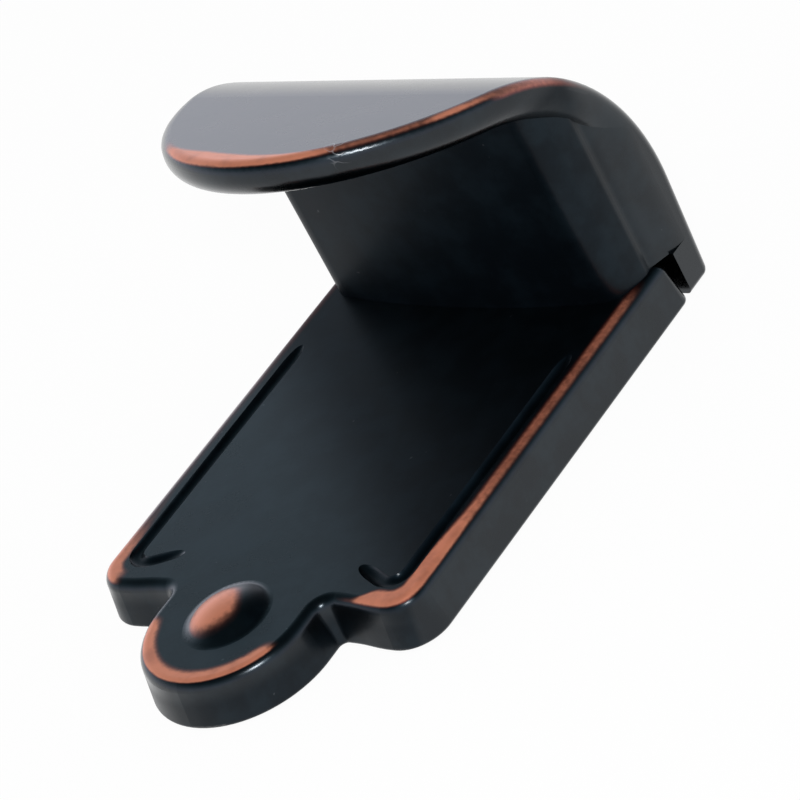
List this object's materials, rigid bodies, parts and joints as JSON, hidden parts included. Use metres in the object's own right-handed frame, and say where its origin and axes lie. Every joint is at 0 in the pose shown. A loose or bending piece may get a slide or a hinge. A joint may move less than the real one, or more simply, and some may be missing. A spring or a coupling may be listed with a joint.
{
  "type": "tab pull",
  "caption": "Dark bronze tab pull: a flat backplate with a curled groove down each side and a round domed ear, and a solid post whose wide curled lip reaches back over the plate as a finger grip.",
  "frame": {"origin": "axis of the mounting screw, on the flat back face of the backplate", "axes": "+X across the plate, +Y from the ear toward the tab's outer wall, +Z out of the furniture's face"},
  "size_m": [0.0354, 0.0576, 0.0321],
  "materials": {
    "bronze_plate": "satin near-black bronze lacquer, rubbed through to copper on the raised edges",
    "bronze_tab": "satin near-black bronze lacquer, rubbed through to copper along the lip's edge"
  },
  "bodies": {
    "root": {"backplate": "bronze_plate", "tab": "bronze_tab"}
  },
  "joints": []
}
